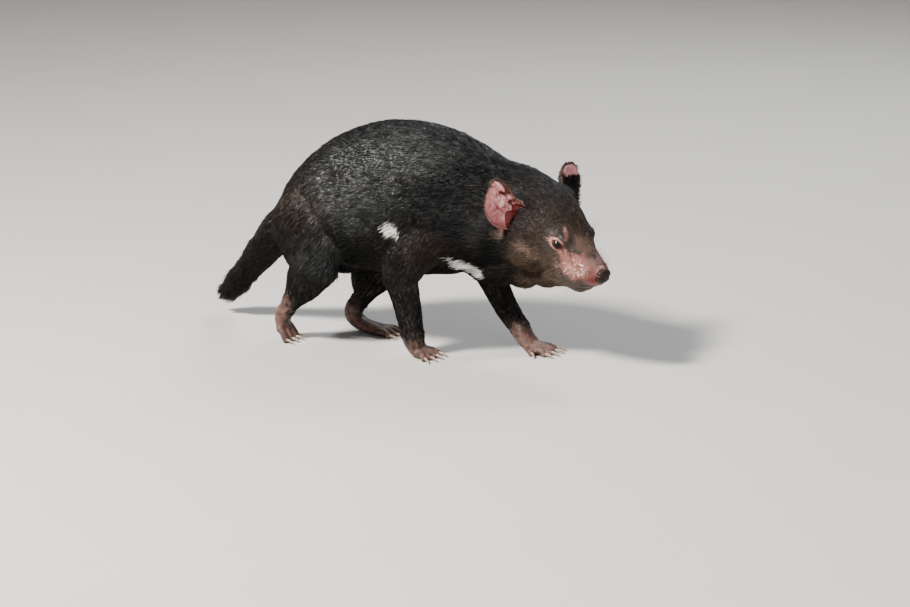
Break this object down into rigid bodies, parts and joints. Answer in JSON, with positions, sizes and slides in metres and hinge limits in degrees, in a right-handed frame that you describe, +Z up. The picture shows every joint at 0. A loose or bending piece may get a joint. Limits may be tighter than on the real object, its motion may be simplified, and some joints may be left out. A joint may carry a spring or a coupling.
{
  "type": "animal figure",
  "caption": "Life-size still model of a walking Tasmanian devil, head turned and lowered, resting on all four feet.",
  "frame": {"origin": "middle of the model's bounding box in plan, on the floor under the feet", "axes": "+X the way the animal walks, +Y to its left, +Z up"},
  "size_m": [0.605, 0.1782, 0.2982],
  "materials": {
    "coat": "short dense black coat with a soft gloss",
    "skin": "bare matt skin of the feet, brownish pink",
    "ear": "thin bare skin inside, short dark hair behind",
    "nose": "moist dark pad",
    "eye": "wet gloss",
    "claw": "pale horn"
  },
  "bodies": {
    "root": {"torso": "coat", "neck": "coat", "head": "coat", "tail_root": "coat", "tail_end": "coat", "upper_arm_left": "coat", "upper_arm_right": "coat", "forearm_left": "coat", "forearm_right": "coat", "thigh_left": "coat", "thigh_right": "coat", "shank_left": "coat", "shank_right": "coat", "forefoot_left": "skin", "forefoot_right": "skin", "hindfoot_left": "skin", "hindfoot_right": "skin", "ear_left": "ear", "ear_right": "ear", "nose_pad": "nose", "eye_left": "eye", "eye_right": "eye", "foreclaw_left_a": "claw", "foreclaw_left_b": "claw", "foreclaw_left_c": "claw", "foreclaw_left_d": "claw", "foreclaw_left_e": "claw", "foreclaw_right_a": "claw", "foreclaw_right_b": "claw", "foreclaw_right_c": "claw", "foreclaw_right_d": "claw", "foreclaw_right_e": "claw", "hindclaw_left_b": "claw", "hindclaw_left_c": "claw", "hindclaw_left_d": "claw", "hindclaw_left_e": "claw", "hindclaw_right_b": "claw", "hindclaw_right_c": "claw", "hindclaw_right_d": "claw", "hindclaw_right_e": "claw"}
  },
  "joints": []
}
